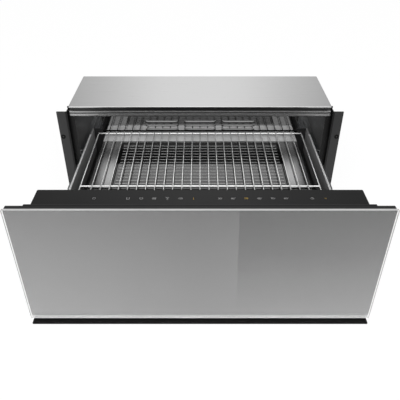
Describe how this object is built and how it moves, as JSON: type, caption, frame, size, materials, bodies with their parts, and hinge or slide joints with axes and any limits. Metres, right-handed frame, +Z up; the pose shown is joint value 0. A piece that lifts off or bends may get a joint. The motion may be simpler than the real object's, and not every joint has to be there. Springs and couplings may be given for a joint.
{
  "type": "warming drawer",
  "caption": "Built-in warming drawer: glass front with a touch strip behind it, wire rack over a heated floor, telescopic slides, louvred rear wall, screw-flanged steel housing.",
  "frame": {"origin": "middle of the housing's lower front edge: on the underside of the base, in the plane of the screw flanges' front faces, half way between the flanges", "axes": "+Z up, +X to the right as seen from the rear of the opening looking along +Y, +Y into the cabinet, so the drawer comes out along -Y"},
  "size_m": [0.75, 1.0056, 0.3193],
  "materials": {
    "black_sheet": "satin",
    "flange_grey": "satin",
    "zinc_sheet": "satin",
    "cover_steel": "satin",
    "rail_steel": "satin",
    "inner_steel": "gloss",
    "front_steel": "satin",
    "front_glass": "polished",
    "control_black": "gloss",
    "plate_black": "gloss",
    "slide_zinc": "polished",
    "rack_chrome": "polished",
    "black_plastic": "satin",
    "light_plastic": "satin",
    "seal_black": "matte",
    "board_green": "satin",
    "rib_print": "satin",
    "rod_dark": "matte",
    "wool": "matte",
    "screw_steel": "polished"
  },
  "bodies": {
    "housing": {"bottom_pan": "zinc_sheet", "side_panel_left": "black_sheet", "side_panel_right": "black_sheet", "rear_panel": "zinc_sheet", "top_cover": "cover_steel", "cover_spacer": "seal_black", "cover_end_caps": "black_plastic", "ceiling_panel": "zinc_sheet", "cavity_baffle": "black_sheet", "front_cross_rail": "rail_steel", "lower_front_panel": "black_sheet", "mounting_flange_left": "flange_grey", "mounting_flange_right": "flange_grey", "flange_bushings": "black_plastic", "housing_screws": "screw_steel", "cable_gland": "black_plastic", "terminal_block": "light_plastic", "power_module": "black_plastic", "push_housing": "black_plastic", "push_spring": "screw_steel", "slide_outer_left": "slide_zinc", "slide_outer_right": "slide_zinc"},
    "drawer": {"slide_inner_left": "slide_zinc", "slide_inner_right": "slide_zinc", "door_glass": "front_glass", "door_backing": "front_steel", "door_tray": "black_plastic", "door_inner_panel": "black_plastic", "bottom_trim": "black_plastic", "control_housing": "black_plastic", "control_glass": "control_black", "control_board": "board_green", "door_bracket_left": "zinc_sheet", "door_bracket_right": "zinc_sheet", "drawer_base": "black_sheet", "drawer_side_left": "black_sheet", "drawer_side_right": "black_sheet", "side_rims": "slide_zinc", "drawer_floor": "inner_steel", "glass_plate": "plate_black", "plate_ribs": "rib_print", "rear_wall": "inner_steel", "wire_rack": "rack_chrome", "reflector_tray": "zinc_sheet", "heating_rod": "rod_dark", "insulation_pad": "wool", "fan_casing": "zinc_sheet", "fan_motor": "flange_grey", "drawer_screws": "screw_steel"},
    "slide_mid_left": {"slide_middle_left": "slide_zinc", "slide_balls_left": "slide_zinc"},
    "slide_mid_right": {"slide_middle_right": "slide_zinc", "slide_balls_right": "slide_zinc"},
    "plunger": {"push_plunger": "light_plastic"},
    "fan": {"fan_wheel": "light_plastic"}
  },
  "joints": [
    {"name": "drawer_slide", "type": "slide", "parent": "housing", "child": "drawer", "axis": [0, 1, 0], "range_m": [0, 0.37]},
    {"name": "slide_left", "type": "slide", "parent": "housing", "child": "slide_mid_left", "axis": [0, 1, 0], "range_m": [0, 0.185]},
    {"name": "slide_right", "type": "slide", "parent": "housing", "child": "slide_mid_right", "axis": [0, 1, 0], "range_m": [0, 0.185]},
    {"name": "push_open", "type": "slide", "parent": "housing", "child": "plunger", "axis": [0, 1, 0], "range_m": [0, 0.006], "stiffness_N_per_m": 500, "springref_m": -0.008, "deforming": ["push_spring"]},
    {"name": "fan_spin", "type": "hinge", "parent": "drawer", "child": "fan", "pos_m": [0, 0.15, 0.1869], "axis": [0, 1, 0], "continuous": true}
  ],
  "couplings": [
    {"joint": "slide_left", "follows": "drawer_slide", "ratio": 0.5},
    {"joint": "slide_right", "follows": "drawer_slide", "ratio": 0.5}
  ]
}
